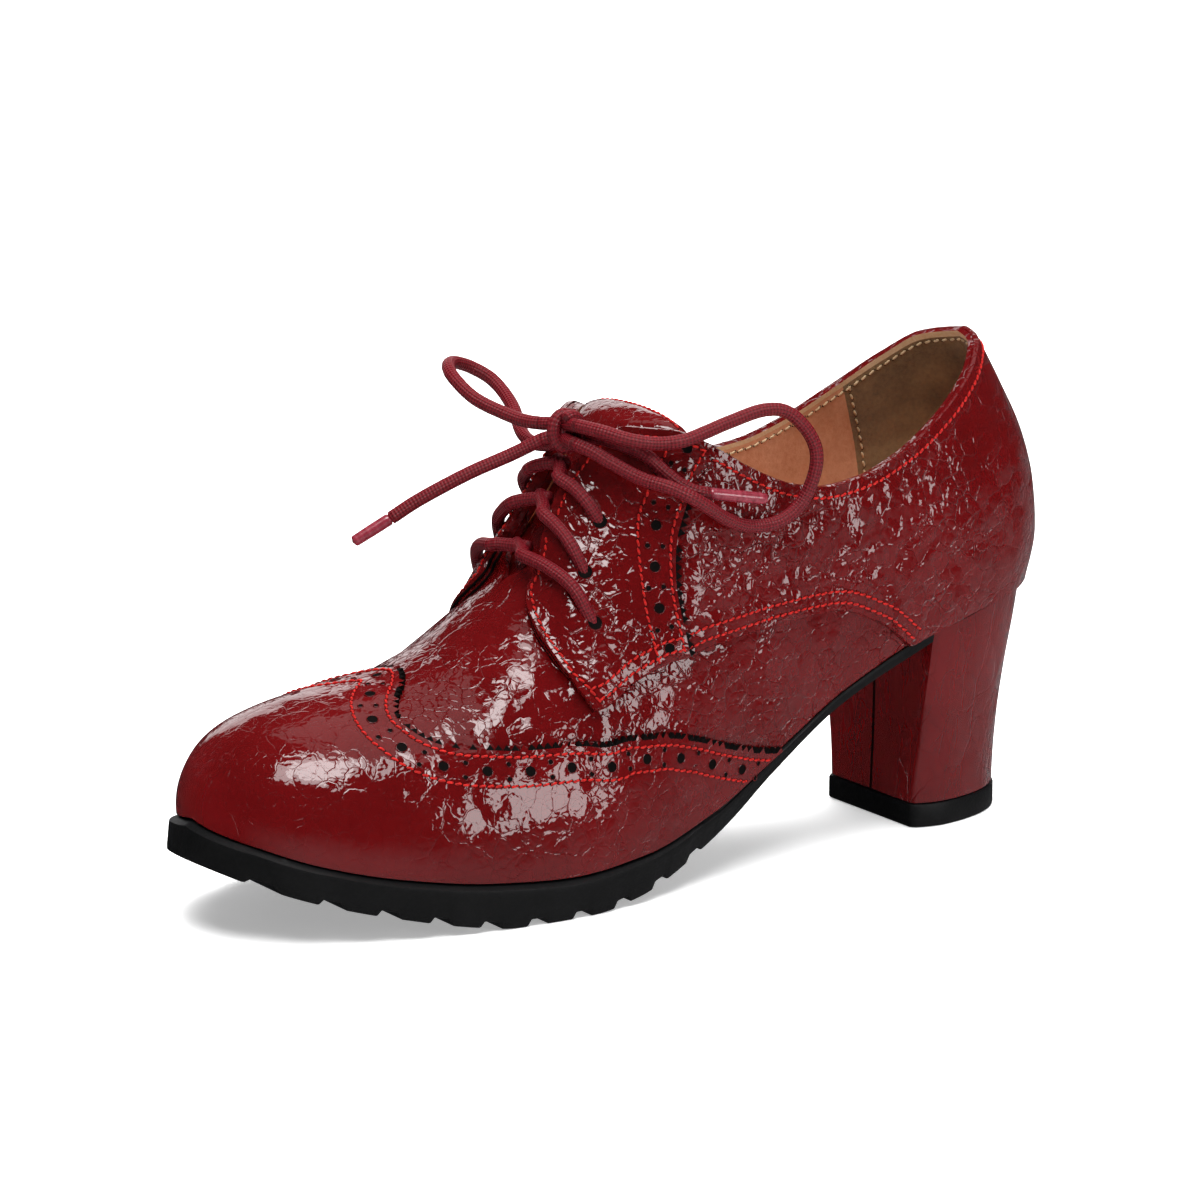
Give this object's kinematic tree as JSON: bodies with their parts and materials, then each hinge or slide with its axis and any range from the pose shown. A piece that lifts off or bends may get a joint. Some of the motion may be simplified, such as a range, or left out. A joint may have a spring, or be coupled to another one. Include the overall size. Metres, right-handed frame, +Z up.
{
  "type": "block heel derby shoe",
  "caption": "Laced low-cut derby shoe with a winged toe cap, brogue bands, a tall block heel and a lugged rubber sole, standing empty with its bow tied.",
  "frame": {"origin": "on the floor, under the middle of the shoe's box without the bow", "axes": "+X from toe to heel, +Y to the medial side, +Z up from the floor"},
  "size_m": [0.24, 0.0845, 0.1217],
  "materials": {
    "patent": "dark red crinkle patent, glossy",
    "lining": "tan lining leather, matt",
    "rubber": "black moulded rubber, matt",
    "lace": "round waxed braid",
    "tip": "clear film over the lace"
  },
  "bodies": {
    "root": {"upper": "patent", "wing_cap": "patent", "quarter_lateral": "patent", "quarter_medial": "patent", "eyestay_lateral": "patent", "eyestay_medial": "patent", "tongue": "patent", "heel": "patent", "insole": "lining", "outsole": "rubber", "top_piece": "rubber", "lace_cross_top": "lace", "lace_cross_middle": "lace", "lace_cross_low": "lace", "lace_knot": "lace", "lace_loop_right": "lace", "lace_loop_left": "lace", "lace_end_right": "lace", "lace_end_left": "lace", "aglet_right": "tip", "aglet_left": "tip"}
  },
  "joints": []
}
